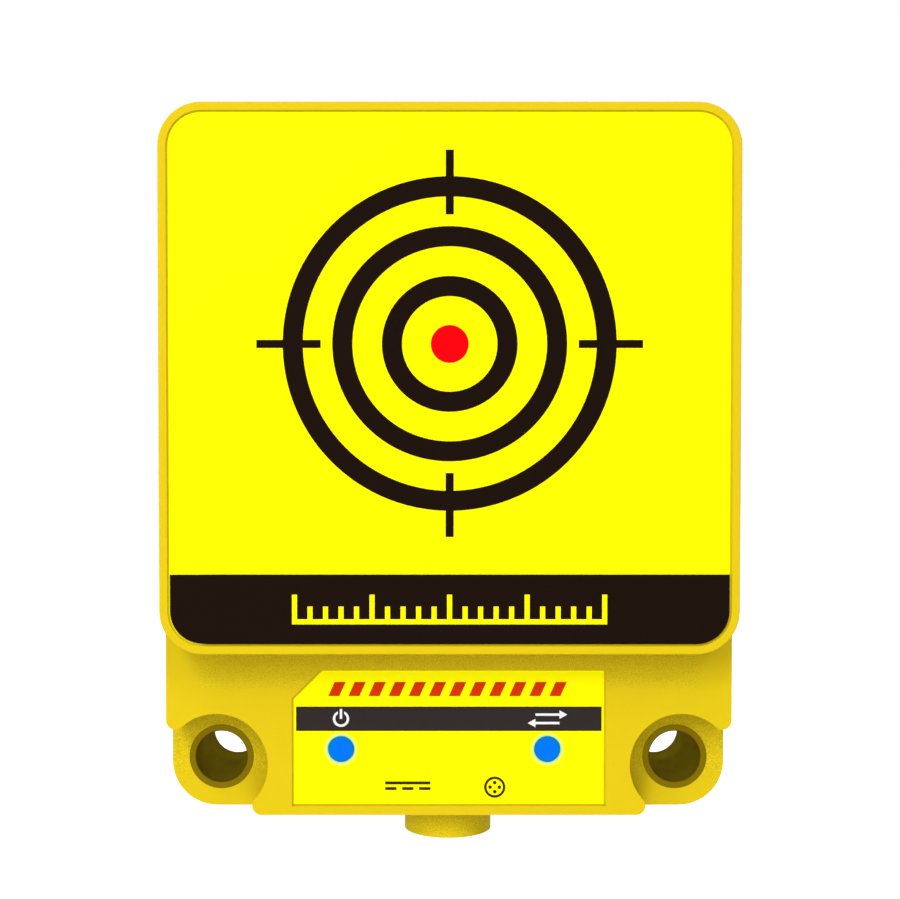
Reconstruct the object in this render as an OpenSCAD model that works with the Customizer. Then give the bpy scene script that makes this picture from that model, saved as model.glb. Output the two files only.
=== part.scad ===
// Radar level transmitter in a block housing with two fixing lugs.
// Millimetres. X runs across the front, +Y towards the wall it is fixed to, +Z is up.
// The origin is on the back face, midway between the two fixing holes.

/* [Body] */
// Width across the housing
body_w = 80; // [78:0.5:96]
// Depth from the back face to the front of the head
body_d = 30; // [29:0.5:36]
// Corner radius of the head, seen from the front
corner_r = 6; // [5:0.25:7]
// Corner radius of the lugs, seen from the front
lug_r = 6.5; // [5:0.25:7]
// Height of the square head
head_h = 75.8; // [68:0.2:90]
// Height of the lower section below the head
lower_h = 23.6; // [23:0.2:30]
// Distance the head stands in front of the lower section
head_step = 5.1; // [4:0.1:5.6]
// Distance from the face of the lower section back to the face of the lugs
lug_step = 5.6; // [4.6:0.1:7]
// Thickness of the side walls
wall = 3.2; // [2.8:0.1:3.4]
// Thickness of the front walls
front_wall = 2.8; // [2.4:0.1:3]
// Radius on the front edge of the head
edge_r = 0.2; // [0.1:0.05:0.5]

/* [Fixing lugs] */
// Distance of the fixing holes from the side edge and from the bottom edge
hole_inset = 7.1; // [6.8:0.1:7.6]
// Outside diameter of the metal bushes
bush_od = 9.3; // [8.8:0.1:10]
// Bore of the metal bushes
bush_bore = 7.4; // [6.4:0.1:7.8]
// Chamfer at each end of a bush's bore
bush_chamfer = 0.1; // [0.1:0.05:0.3]
// Radius of the scoop above each lug, round its hole
scoop_r = 7.3; // [6.8:0.1:7.6]
// Radius that blends a scoop into the outer walls
blend_r = 1.3; // [1:0.1:1.8]

/* [Rear cover] */
// Thickness of the rear cover
cover_t = 2.4; // [2:0.1:2.8]
// Width of the ledge that the rear cover's seal lies on
ledge_w = 2; // [1.6:0.1:2.2]
// Thickness of the seal as clamped
seal_t = 0.8; // [0.5:0.1:1]
// Height of the stiffening ribs inside the cover
cover_rib_h = 1.4; // [1:0.1:1.6]
// Thread diameter of the cover screws
cover_screw_d = 2.5; // [2:0.1:2.6]
// Length of the cover screws
cover_screw_l = 8; // [6:0.5:12]
// Diameter of the bosses for the cover screws
boss_d = 5.6; // [5.4:0.1:6]

/* [Front label] */
// Rim left round the front label
label_rim = 1.15; // [1:0.05:2]
// Thickness of the label films
film_t = 0.2; // [0.15:0.05:0.25]
// Depth of the recesses that the label films lie in
recess_d = 0.3; // [0.3:0.05:0.4]
// Thickness of a layer of print
ink_t = 0.04; // [0.03:0.01:0.05]
// Height of the black band at the foot of the front label
band_h = 9.6; // [8:0.2:12]
// Distance from the top of the head down to the centre of the rings
ring_drop = 33.05; // [31:0.05:36]
// Outside diameter of the largest ring
ring_d = 45.8; // [40:0.2:50]
// Width of each ring's line
ring_line = 2.75; // [1.5:0.05:3]
// Distance in radius from one ring to the next
ring_step = 6.8; // [6:0.1:7]
// Diameter of the red centre dot
dot_d = 5.2; // [4:0.1:6]
// Length of the printed scale on the band
scale_w = 43.4; // [30:0.2:56]
// Height of the long ticks of the printed scale
scale_h = 4.1; // [3:0.1:5]

/* [Lower label] */
// Distance from each side of the lower label to the scoop beside it
plate_side = 3.7; // [3.2:0.05:5]
// Height of the lower label
plate_h = 18.85; // [18.6:0.05:20]
// Distance from the bottom edge up to the lower label
plate_rise = 1.57; // [1.4:0.01:1.8]
// Size of the lower label's cut corner
plate_cut = 4; // [2:0.1:5]
// Height of the dark stripe
stripe_h = 3.45; // [3:0.05:4]
// Distance from the top of the lower label down to the dark stripe
stripe_drop = 5; // [4.6:0.1:5.4]

/* [Indicators] */
// Distance of the left indicator from the left side of the lower label
left_lamp_in = 6.65; // [6:0.05:10]
// Distance of the right indicator from the right side of the lower label
right_lamp_in = 7.95; // [6:0.05:10]
// Height of the indicators above the bottom edge
lamp_rise = 9.35; // [9:0.05:9.6]
// Diameter of an indicator window
window_d = 3.7; // [3:0.1:4.2]
// Diameter of the rod that leads the light to the window
rod_d = 3; // [2.4:0.1:3.4]

/* [Plug socket] */
// Outside diameter of the socket boss under the housing
socket_od = 12.7; // [12:0.1:12.8]
// Length of the socket boss below the bottom edge
socket_l = 4; // [3:0.1:6]
// Distance from the face of the lower section back to the axis of the socket
socket_setback = 8.9; // [8.7:0.1:10]
// Bore of the socket
socket_bore = 9.2; // [9:0.1:9.6]
// Depth of the socket from its mouth to the contact carrier
socket_depth = 8; // [7:0.1:9]
// Diameter of a contact pin
pin_d = 1; // [0.8:0.05:1.1]
// Diameter of the circle that the contact pins stand on
pin_circle = 5.66; // [5.5:0.02:5.8]
// Thickness of the rubber of the carrier's sealing ring
ring_cord = 0.9; // [0.8:0.05:1]
// Diameter of a lead wire
wire_d = 0.9; // [0.7:0.05:1]

/* [Boards] */
// Distance from the back face to the rear side of the main board
board_y = 7; // [6.6:0.1:7.6]
// Thickness of the main board
board_t = 1.6; // [1.2:0.1:2]
// Gap round the main board
board_gap = 0.5; // [0.3:0.05:0.8]
// Diameter of the posts that carry the main board
post_d = 6; // [5.4:0.1:6.6]
// Width and height of the radar board
radar_w = 46; // [44:0.5:48]
// Thickness of the radar board
radar_t = 1; // [0.8:0.1:1.2]
// Air gap between the radar board and the front wall
antenna_gap = 2.6; // [2.4:0.1:3]
// Width across the flats of the board spacers
spacer_af = 5; // [4.4:0.1:5.4]
// Thread diameter of the board screws
board_screw_d = 3; // [2.6:0.1:3]

/* [Hidden] */
$fn = 64;

// Colours
yellow = [0.91, 0.78, 0.10];
bright_yellow = [1.00, 0.98, 0.05];
ink_black = [0.12, 0.09, 0.07];
ink_grey = [0.20, 0.18, 0.17];
ink_red = [0.93, 0.10, 0.08];
brass = [0.55, 0.45, 0.10];
steel = [0.62, 0.63, 0.65];
board_green = [0.06, 0.32, 0.17];
copper = [0.80, 0.50, 0.20];
plastic_black = [0.08, 0.08, 0.09];
rubber = [0.10, 0.10, 0.10];

// Clearances
slip = 0.03;         // round a piece that is pressed or glued in
thread_gap = 0.05;   // round a screw's thread
fit_gap = 0.1;       // round the rear cover
label_gap = 0.3;     // round a label film
seat_gap = 0.3;      // in front of a lamp

// Levels and planes of the housing
hole_pitch = body_w - 2 * hole_inset;
bottom_z = -hole_inset;
top_z = bottom_z + lower_h + head_h;
head_z = top_z - head_h;             // underside of the head
front_y = -body_d;                   // front of the head
lower_y = front_y + head_step;       // face of the lower section
lug_y = lower_y + lug_step;          // face of the lugs
head_in_y = front_y + front_wall;    // inner face of the head's front wall
lower_in_y = lower_y + front_wall;   // inner face of the lower section's front wall
seat_y = -cover_t - seal_t;          // ledge that the cover's seal lies on
past = 1;                            // how far a cutter runs past a face

// Cavity: a wide part behind the head and a neck between the lugs
cavity_w = body_w - 2 * wall;
cavity_top = top_z - wall;
shoulder_z = scoop_r + wall;
neck_w = hole_pitch - 2 * (scoop_r + wall);
neck_z = bottom_z + wall;
cavity_r = corner_r - wall;
shoulder_r = 4;
deep_z = head_z + wall;              // lower end of the deep part behind the head

// Bosses of the cover screws: as close to the walls as their pads clear the rounded corners
pad_d = boss_d - 1;                   // pad inside the cover that bears on a boss
pad_in = pad_d / 2 + fit_gap;
boss_in = max(pad_in, cavity_r * (1 - sqrt(0.5)) + pad_in * sqrt(0.5));
boss_spots = [for (s = [-1, 1])
    each [[s * (cavity_w / 2 - boss_in), cavity_top - boss_in],
          [s * (cavity_w / 2 - boss_in), shoulder_z + boss_in],
          [s * (neck_w / 2 - boss_in), neck_z + boss_in]]];
cover_head_d = 1.8 * cover_screw_d;
cover_sink = 0.1;                    // how far a cover screw's head lies below the cover
cover_rib_w = 1.2;
cover_rib_x = neck_w / 2 - 3;        // places of the cover's ribs: clear of the bosses
cover_rib_z0 = shoulder_z + 3;
cover_rib_z1 = cavity_top - 8;

// Boards
main_y = -board_y - board_t;         // front side of the main board
post_head_h = 1.8;
post_in = 5;
post_drop = 11;                      // distance of the upper posts from the top of the cavity
post_rise = 7;                       // height of the lower posts above the deep part's lower end
post_spots = [for (s = [-1, 1])
    each [[s * (cavity_w / 2 - post_in), cavity_top - post_drop],
          [s * (cavity_w / 2 - post_in), deep_z + post_rise]]];
post_rib_t = 1.6;
post_rib_drop = 3;                   // the rib of a post ends this far in front of the board
post_screw_l = 8;
ring_z = top_z - ring_drop;          // height of the beam's axis and of the rings
radar_y = head_in_y + antenna_gap;   // front side of the radar board
radar_back_y = radar_y + radar_t;
spacer_l = main_y - radar_back_y;
spacer_in = 3.5;
spacer_spots = [for (sx = [-1, 1], sz = [-1, 1])
    [sx * (radar_w / 2 - spacer_in), ring_z + sz * (radar_w / 2 - spacer_in)]];
spacer_screw_d = 0.5 * spacer_af;
spacer_head_h = 1.3;
header_pins = 5;                     // pins in each of the header's two rows
header_pitch = 2.54;
header_pin = 0.64;
header_socket_h = 8.5;
header_floor = 1;                    // depth of plastic left below the strip's pin holes
header_strip_t = 2.5;
header_pin_gap = 2;                  // distance of the pins' ends from the main board
header_l = header_pins * header_pitch;
header_x = -radar_w / 2 + spacer_in + spacer_af + header_l / 2;
header_z = ring_z - radar_w / 2 + 5;
header_spots = [for (i = [0:header_pins - 1], s = [-0.5, 0.5])
    [header_x + (i - (header_pins - 1) / 2) * header_pitch, header_z + s * header_pitch]];

// Parts on the main board, from the shoulder of the cavity upwards
chip_w = 10;
chip_t = 1.2;
chip_lift = 0.2;
leg_l = 1;
leg_w = 0.4;
leg_pitch = 1;
chip_x = 6;
chip_z = shoulder_z + 14.5;
coil_w = 7;
coil_h = 4;
coil_x = -10;
coil_z = shoulder_z + 5;
cap_d = 6.3;
cap_h = 7.7;
cap_base = 6.7;
cap_base_t = 0.8;
cap_x = 0.5;
cap_pitch = 8;
cap_z = shoulder_z + 4.5;
reg_w = 6.6;
reg_l = 3.6;
reg_t = 1.7;
reg_x = -11;
reg_z = shoulder_z + 14;
tab_w = 3.2;
tab_l = 1.6;
tab_t = 0.3;
reg_leg_w = 0.8;
reg_pitch = 2.3;
crystal_w = 3.6;
crystal_h = 3.2;
crystal_pitch = 3.4;
crystal_x = 17;
crystal_z = shoulder_z + 13;

// Parts on the radar board
radar_corner = 1.5;
patches = 6;
patch_pitch = 2.5;
patch_w = 1.6;
patch_h = 1.3;
copper_t = 0.1;
feed_w = 0.3;
feed_l = 3;
column_x = 4.5;                      // columns stand at one and two times this on each side
radar_chip_w = 6.5;
radar_chip_t = 0.9;
radar_chip_drop = 12;
screw_grip = 4;                      // length of a spacer's thread that a screw takes up

// Print on the front label
aim_w = 1.1;                         // width of an aiming tick
aim_out = 3.6;                       // length of it outside the largest ring
aim_gap = 1.6;                       // gap from it to the next ring
scale_steps = 20;
scale_line = 0.7;

// Print on the lower label: red dashes, signs in the dark stripe, signs at the foot
dashes = 12;
dash_side = 4.85;                    // from each side of the label to the dashes
dash_h = 2;
dash_slant = 0.9;
sign_d = 2.3;
sign_line = 0.34;
sign_gap = 0.9;
bar_l = 1.4;
arrow_l = 3.4;
arrow_head_l = 1.1;
arrow_head_w = 1.2;
arrow_pitch = 1.2;
foot_rise = 2.4;                     // height of the foot signs' centres above the label's edge
foot_line = 0.4;
current_x = -5.8;                    // centre of the direct-current sign
current_l = 6.4;
current_dash = 1.6;
current_pitch = 2.4;
pattern_x = 6.5;                     // centre of the pin pattern
pattern_d = 3;
pattern_circle = 1.3;
pattern_dot = 0.5;

// Labels
plate_w = hole_pitch - 2 * (scoop_r + plate_side);
plate_z = bottom_z + plate_rise;
plate_top = plate_z + plate_h;
label_w = body_w - 2 * (label_rim + label_gap);
label_h = head_h - 2 * (label_rim + label_gap);
label_z = head_z + label_rim + label_gap;
film_y = front_y + recess_d - film_t;         // face of the front label
plate_y = lower_y + recess_d - film_t;        // face of the lower label
band_rim = 0.05;
stripe_z = plate_top - stripe_drop - stripe_h;
stripe_rim = 0.3;
lamp_z = bottom_z + lamp_rise;
lamps = [left_lamp_in - plate_w / 2, plate_w / 2 - right_lamp_in];
pipe_lip = 0.4;                               // how far a light pipe's shoulder stands out
pipe_lip_t = 1;
led_h = 1.9;
led_w = 2.8;
led_l = 3.5;
led_cup = [2.4, 1.8, 0.8];                    // mouth, floor and depth of the cup in a lamp

// Plug socket
socket_y = lower_y + socket_setback;
mouth_z = bottom_z - socket_l;
carrier_z = mouth_z + socket_depth;           // face of the contact carrier
web_w = 7;                                    // width of the web that ties the tube to the front wall
key_w = 1.2;
key_h = 0.5;
key_end = 0.5;                                // the key ends this far below the contact carrier
barrel_l = 4;
tube_top = carrier_z + barrel_l;
flange_d = socket_od - 1;
flange_t = 1.4;
tail_l = 1.8;
tail_d = 1.7 * pin_d;
tail_z = tube_top + flange_t + tail_l;
pin_recess = 1.5;                             // pin tips lie this far inside the mouth
pin_angles = [0, 90, 180, 270];
bend_r = 1.5;
wire_rise = 1;                                // straight length of a wire above its pin
wire_step = 3;                                // the wire of the front pin bends this much higher
solder_l = 1.2;                               // depth of the wire in the pin's tail
wire_sink = 0.2;                              // a wire ends this far inside the board's rear side
wires = [for (a = pin_angles)
    [pin_circle / 2 * cos(a), socket_y + pin_circle / 2 * sin(a),
        tail_z + bend_r + wire_rise + (a == 270 ? wire_step : 0)]];

// ---------- shared shapes ----------

// Stands a flat shape drawn in X and Z upright, from plane y0 back to plane y1
module upright(y0, y1) {
    translate([0, y1, 0]) rotate([90, 0, 0]) linear_extrude(y1 - y0) children();
}

// Cylinder along Y from plane y0 back to plane y1
module rod_y(x, z, d, y0, y1) {
    translate([x, y1, z]) rotate([90, 0, 0]) cylinder(h = y1 - y0, d = d);
}

// Cone along Y: diameter d0 at plane y0, d1 at plane y1
module cone_y(x, z, d0, d1, y0, y1) {
    translate([x, y0, z]) rotate([-90, 0, 0]) cylinder(h = y1 - y0, d1 = d0, d2 = d1);
}

// Box between two corners
module box(a, b) {
    translate(a) cube(b - a);
}

// Rounded rectangle centred on X, from height z0 to z1
module round_rect(w, z0, z1, r) {
    translate([-w / 2, z0 + r]) square([w, z1 - z0 - 2 * r]);
    translate([-w / 2 + r, z0]) square([w - 2 * r, z1 - z0]);
    for (sx = [-1, 1], z = [z0 + r, z1 - r])
        translate([sx * (w / 2 - r), z]) circle(r);
}

// Outline of the housing behind the head: the head's corners at the top, the lugs' at the bottom
module body_outline() {
    round_rect(body_w, head_z, top_z, corner_r);
    round_rect(body_w, bottom_z, head_z + corner_r + lug_r, lug_r);
}

// Outline of the cavity, grown outwards by g: the wide part, the neck and the rounded inner shoulders
module cavity_outline(g) {
    round_rect(cavity_w + 2 * g, shoulder_z - g, cavity_top + g, cavity_r + g);
    round_rect(neck_w + 2 * g, neck_z - g, shoulder_z + shoulder_r, cavity_r + g);
    r = shoulder_r - g;
    for (s = [-1, 1])
        difference() {
            translate([s > 0 ? neck_w / 2 + g : -neck_w / 2 - g - r, shoulder_z - g - r])
                square([r, r + 0.5]);
            translate([s * (neck_w / 2 + shoulder_r), shoulder_z - shoulder_r]) circle(r);
        }
}

// Outline of the lower label, shrunk by g: a rectangle with its upper left corner cut
module plate_outline(g) {
    w = plate_w / 2 - g;
    cut = plate_cut + g * (1 - tan(22.5)) - g;
    polygon([[-w, plate_z + g], [w, plate_z + g], [w, plate_top - g],
        [-w + cut, plate_top - g], [-w, plate_top - g - cut]]);
}

// Corner of a lug layer that the scoop takes away: the scoop circle and all that lies outside it,
// less the two discs that blend the scoop into the side wall and the bottom wall
module scoop_corner(s) {
    hx = hole_pitch / 2;
    reach = scoop_r + blend_r;
    side = [body_w / 2 - blend_r, sqrt(pow(reach, 2) - pow(body_w / 2 - blend_r - hx, 2))];
    foot = [hx - sqrt(pow(reach, 2) - pow(hole_inset - blend_r, 2)), bottom_z + blend_r];
    mirror([s < 0 ? 1 : 0, 0])
        difference() {
            union() {
                translate([hx, 0]) circle(scoop_r);
                polygon([[hx, 0], side, [body_w / 2 + past, side[1]], [body_w / 2 + past, bottom_z - past],
                    [foot[0], bottom_z - past], foot]);
            }
            translate(side) circle(blend_r);
            translate(foot) circle(blend_r);
        }
}

// Rounded block of the head whose front edge is rounded with edge_r
module head_block() {
    w = body_w / 2 - corner_r;
    z0 = head_z + corner_r;
    z1 = top_z - corner_r;
    translate([0, lower_y, 0]) rotate([90, 0, 0]) {
        for (c = [[w, z1, 0], [-w, z1, 90], [-w, z0, 180], [w, z0, 270]])
            translate([c[0], c[1], 0]) rotate([0, 0, c[2]]) rotate_extrude(angle = 90) edge_profile();
        for (c = [[w, z0, 0, z1 - z0], [-w, z1, 180, z1 - z0], [w, z1, 90, 2 * w], [-w, z0, 270, 2 * w]])
            translate([c[0], c[1], 0]) rotate([90, 0, c[2]]) mirror([0, 0, 1])
                linear_extrude(c[3]) edge_profile();
        translate([-w, z0, 0]) cube([2 * w, z1 - z0, head_step]);
    }
}

// Section through the head's edge, from the centre of its corner outwards
module edge_profile() {
    square([corner_r - edge_r, head_step]);
    square([corner_r, head_step - edge_r]);
    translate([corner_r - edge_r, head_step - edge_r]) circle(edge_r);
}

// Cross recess for a screw's head, cut back from plane y
module cross_slot(x, z, span, y, depth, towards) {
    half = 0.09 * span;
    y1 = y + towards * depth;
    for (v = [[span / 2, half], [half, span / 2]])
        box([x - v[0], min(y, y1), z - v[1]], [x + v[0], max(y, y1), z + v[1]]);
}

// Pan-head screw along Y with its head's seat at plane y; towards = 1 points its tip to +Y
module pan_screw(x, z, d, l, pan_h, y, towards) {
    tip = y + towards * l;
    top = y - towards * pan_h;
    difference() {
        union() {
            rod_y(x, z, d, min(y, tip), max(y, tip));
            rod_y(x, z, 1.8 * d, min(y, top), max(y, top));
        }
        cross_slot(x, z, 1.1 * d, top, 0.6 * pan_h, towards);
    }
}

// ---------- housing ----------

module housing() {
    color(yellow) {
        difference() {
            union() {
                head_block();
                upright(lower_y, lug_y) difference() {
                    body_outline();
                    scoop_corner(-1);
                    scoop_corner(1);
                }
                upright(lug_y, 0) body_outline();
                translate([0, socket_y, mouth_z]) cylinder(h = neck_z - mouth_z, d = socket_od);
            }
            difference() {
                housing_hollow();
                cover_bosses();
                board_posts();
                socket_tube();
            }
            upright(seat_y, past) cavity_outline(ledge_w);
            upright(front_y - past, front_y + recess_d)
                round_rect(label_w + 2 * label_gap, label_z - label_gap, label_z + label_h + label_gap,
                    corner_r - label_rim);
            upright(lower_y - past, lower_y + recess_d) plate_outline(-label_gap);
            for (s = [-1, 1])
                rod_y(s * hole_pitch / 2, 0, bush_od + 2 * slip, lug_y - past, past);
            for (x = lamps)
                rod_y(x, lamp_z, window_d + 2 * slip, lower_y - past, lower_in_y + past);
            for (p = boss_spots)
                rod_y(p[0], p[1], cover_screw_d + 2 * thread_gap, -cover_sink - cover_screw_l - 1, past);
            for (p = post_spots)
                rod_y(p[0], p[1], board_screw_d + 2 * thread_gap, -board_y - post_screw_l - 1, past);
            socket_hole();
        }
        socket_key();
    }
}

// Space behind both front walls, open at the back
module housing_hollow() {
    upright(lower_in_y, past) cavity_outline(0);
    upright(head_in_y, lower_in_y + past) round_rect(cavity_w, deep_z, cavity_top, cavity_r);
}

// Bosses that take the cover screws, from the front walls to the level of the seal's ledge
module cover_bosses() {
    for (p = boss_spots)
        rod_y(p[0], p[1], boss_d, head_in_y - past, seat_y);
}

// Posts that carry the main board, each with a rib to the side wall
module board_posts() {
    for (p = post_spots) {
        far = p[0] + sign(p[0]) * (post_in + past);
        rod_y(p[0], p[1], post_d, head_in_y - past, main_y);
        box([min(p[0], far), head_in_y - past, p[1] - post_rib_t / 2],
            [max(p[0], far), main_y - post_rib_drop, p[1] + post_rib_t / 2]);
    }
}

// Tube that carries the socket on inside the housing, with a web to the front wall
module socket_tube() {
    translate([0, socket_y, neck_z - past]) cylinder(h = tube_top - neck_z + past, d = socket_od);
    box([-web_w / 2, lower_in_y - past, neck_z - past], [web_w / 2, socket_y, tube_top]);
}

module socket_hole() {
    translate([0, socket_y, mouth_z - past]) cylinder(h = tube_top - mouth_z + 2 * past, d = socket_bore);
}

// Rib in the socket that lets the plug in one way round only
module socket_key() {
    translate([0, socket_y, mouth_z + pin_recess]) rotate([0, 0, 45])
        intersection() {
            translate([socket_bore / 2 - key_h, -key_w / 2, 0])
                cube([2 * key_h, key_w, socket_depth - pin_recess - key_end]);
            cylinder(h = socket_depth, d = socket_bore + key_h);
        }
}

// ---------- rear cover ----------

// Plate with a rib grid inside and, round each screw, a pad that bears on the housing's boss
module rear_cover() {
    color(yellow)
        difference() {
            union() {
                upright(-cover_t, 0) cavity_outline(ledge_w - fit_gap);
                for (p = boss_spots) rod_y(p[0], p[1], pad_d, seat_y, -cover_t);
                for (s = [-1, 1])
                    box([s * cover_rib_x - cover_rib_w / 2, -cover_t - cover_rib_h, cover_rib_z0],
                        [s * cover_rib_x + cover_rib_w / 2, -cover_t, cover_rib_z1]);
                for (i = [0:3]) {
                    z = cover_rib_z0 + i * (cover_rib_z1 - cover_rib_z0 - cover_rib_w) / 3;
                    box([-cover_rib_x, -cover_t - cover_rib_h, z], [cover_rib_x, -cover_t, z + cover_rib_w]);
                }
            }
            for (p = boss_spots) {
                head = cover_head_d + 2 * thread_gap;
                thread = cover_screw_d + 2 * thread_gap;
                rod_y(p[0], p[1], thread, seat_y - past, past);
                cone_y(p[0], p[1], thread, head, -cover_sink - (head - thread) / 2, -cover_sink);
                rod_y(p[0], p[1], head, -cover_sink, past);
            }
        }
}

module cover_seal() {
    color(rubber) upright(seat_y, -cover_t) difference() {
        cavity_outline(ledge_w - fit_gap);
        cavity_outline(fit_gap);
    }
}

module cover_screws() {
    cone_h = (cover_head_d - cover_screw_d) / 2;
    color(steel) for (p = boss_spots)
        difference() {
            union() {
                cone_y(p[0], p[1], cover_screw_d, cover_head_d, -cover_sink - cone_h, -cover_sink);
                rod_y(p[0], p[1], cover_screw_d, -cover_sink - cover_screw_l, -cover_sink - cone_h / 2);
            }
            cross_slot(p[0], p[1], 0.6 * cover_head_d, -cover_sink, 1.2 * cone_h, -1);
        }
}

// ---------- bushes in the lugs ----------

module bush(s) {
    x = s * hole_pitch / 2;
    rim = bush_bore + 2 * bush_chamfer;
    color(brass) difference() {
        rod_y(x, 0, bush_od, lug_y, 0);
        rod_y(x, 0, bush_bore, lug_y - past, past);
        cone_y(x, 0, rim, bush_bore, lug_y, lug_y + bush_chamfer);
        cone_y(x, 0, bush_bore, rim, -bush_chamfer, 0);
    }
}

module left_bush() { bush(-1); }
module right_bush() { bush(1); }

// ---------- front label ----------

module front_label() {
    color(bright_yellow) upright(film_y, film_y + film_t)
        round_rect(label_w, label_z, label_z + label_h, corner_r - label_rim - label_gap);
}

// Black band with the label's lower corners, and three rings with four aiming ticks
module front_label_black_print() {
    aim_in = ring_step - aim_gap;
    corner = corner_r - label_rim - label_gap - band_rim;
    color(ink_black) upright(film_y - ink_t, film_y) {
        intersection() {
            round_rect(label_w - 2 * band_rim, label_z + band_rim, label_z + label_h, corner);
            translate([-body_w / 2, label_z]) square([body_w, band_h]);
        }
        for (i = [0:2])
            translate([0, ring_z]) difference() {
                circle(ring_d / 2 - i * ring_step, $fn = 120);
                circle(ring_d / 2 - i * ring_step - ring_line, $fn = 120);
            }
        for (a = [0, 90, 180, 270])
            translate([0, ring_z]) rotate(a) translate([ring_d / 2 - aim_in, -aim_w / 2])
                square([aim_in + aim_out, aim_w]);
    }
}

// Scale on the black band: a base line with a long tick at every fifth place
module front_label_yellow_print() {
    short_h = 0.6 * scale_h;
    z = label_z + band_h / 2 - scale_h / 2;
    color(bright_yellow) upright(film_y - 2 * ink_t, film_y - ink_t) {
        translate([-scale_w / 2, z]) square([scale_w, scale_line]);
        for (i = [0:scale_steps])
            translate([-scale_w / 2 + i * (scale_w - scale_line) / scale_steps, z])
                square([scale_line, i % 5 == 0 ? scale_h : short_h]);
    }
}

module front_label_red_dot() {
    color(ink_red) rod_y(0, ring_z, dot_d, film_y - ink_t, film_y);
}

// ---------- lower label ----------

module lower_label() {
    color(bright_yellow) upright(plate_y, plate_y + film_t) difference() {
        plate_outline(0);
        for (x = lamps) translate([x, lamp_z]) circle(d = window_d + 2 * slip);
    }
}

// Dark stripe, and at the foot the direct-current sign beside the socket's pin pattern
module lower_label_dark_print() {
    foot_z = plate_z + foot_rise;
    color(ink_grey) upright(plate_y - ink_t, plate_y) {
        translate([-plate_w / 2 + stripe_rim, stripe_z]) square([plate_w - 2 * stripe_rim, stripe_h]);
        translate([current_x - current_l / 2, foot_z]) {
            translate([0, foot_line]) square([current_l, foot_line]);
            for (i = [0:2])
                translate([i * current_pitch, -foot_line]) square([current_dash, foot_line]);
        }
        translate([pattern_x, foot_z]) {
            difference() {
                circle(d = pattern_d);
                circle(d = pattern_d - 2 * sign_line);
            }
            for (a = pin_angles)
                rotate(a) translate([pattern_circle / 2, 0]) circle(d = pattern_dot);
        }
    }
}

// Row of slanted red dashes along the top
module lower_label_red_print() {
    dash_span = plate_w - 2 * dash_side;
    pitch = dash_span / dashes;
    dash_w = 0.55 * pitch;
    z = plate_top - stripe_drop / 2 - dash_h / 2;
    color(ink_red) upright(plate_y - ink_t, plate_y)
        for (i = [0:dashes - 1])
            translate([-dash_span / 2 + i * pitch, z])
                polygon([[0, 0], [dash_w, 0], [dash_w + dash_slant, dash_h], [dash_slant, dash_h]]);
}

// Signs in the dark stripe above the lamps: on/off for the left one, two-way arrows for the right one
module lower_label_white_print() {
    z = stripe_z + stripe_h / 2;
    color("white") upright(plate_y - 2 * ink_t, plate_y - ink_t) {
        translate([lamps[0], z]) {
            difference() {
                circle(d = sign_d);
                circle(d = sign_d - 2 * sign_line);
                translate([-sign_gap / 2, 0]) square([sign_gap, sign_d]);
            }
            translate([-sign_line / 2, 0]) square([sign_line, bar_l]);
        }
        for (s = [-1, 1])
            translate([lamps[1], z + s * arrow_pitch / 2]) {
                translate([-arrow_l / 2, -sign_line / 2]) square([arrow_l, sign_line]);
                translate([s * arrow_l / 2, 0])
                    polygon([[s * arrow_head_l, 0], [0, arrow_head_w / 2], [0, -arrow_head_w / 2]]);
            }
    }
}

// ---------- indicators ----------

// Clear pipe: window flush with the label, shoulder behind the wall, rod to the lamp
module light_pipe(x) {
    color([0.05, 0.45, 1.0]) {
        rod_y(x, lamp_z, window_d, plate_y, lower_in_y + pipe_lip_t / 2);
        rod_y(x, lamp_z, window_d + 2 * pipe_lip, lower_in_y, lower_in_y + pipe_lip_t);
        rod_y(x, lamp_z, rod_d, lower_in_y + pipe_lip_t / 2, main_y - led_h - seat_gap);
    }
}

module left_light_pipe() { light_pipe(lamps[0]); }
module right_light_pipe() { light_pipe(lamps[1]); }

// Lamp on the main board: a block with a round cup for its light
module led(x) {
    color("white") difference() {
        box([x - led_w / 2, main_y - led_h, lamp_z - led_l / 2], [x + led_w / 2, main_y, lamp_z + led_l / 2]);
        cone_y(x, lamp_z, led_cup[0], led_cup[1], main_y - led_h, main_y - led_h + led_cup[2]);
    }
}

module left_led() { led(lamps[0]); }
module right_led() { led(lamps[1]); }

// ---------- main board ----------

module main_board() {
    color(board_green) difference() {
        upright(main_y, -board_y) difference() {
            cavity_outline(-board_gap);
            for (p = boss_spots) translate(p) circle(d = boss_d + 2 * board_gap);
            translate([-socket_od / 2 - board_gap, neck_z])
                square([socket_od + 2 * board_gap, tail_z - neck_z]);
        }
        for (p = post_spots)
            rod_y(p[0], p[1], board_screw_d + 4 * thread_gap, main_y - past, past);
        for (p = spacer_spots)
            rod_y(p[0], p[1], spacer_screw_d + 4 * thread_gap, main_y - past, past);
        for (w = wires) rod_y(w[0], w[2], wire_d + 2 * slip, main_y - past, past);
    }
}

module main_board_screws() {
    color(steel) for (p = post_spots)
        pan_screw(p[0], p[1], board_screw_d, post_screw_l, post_head_h, -board_y, -1);
}

// Chip with its rows of legs
module microcontroller() {
    color(plastic_black)
        box([chip_x - chip_w / 2, main_y - chip_lift - chip_t, chip_z - chip_w / 2],
            [chip_x + chip_w / 2, main_y - chip_lift, chip_z + chip_w / 2]);
    color(steel) for (i = [-4:4], a = [0, 90, 180, 270])
        translate([chip_x, main_y, chip_z]) rotate([0, a, 0])
            box([chip_w / 2 - leg_w / 2, -2 * chip_lift, i * leg_pitch - leg_w / 2],
                [chip_w / 2 + leg_l, 0, i * leg_pitch + leg_w / 2]);
}

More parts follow.
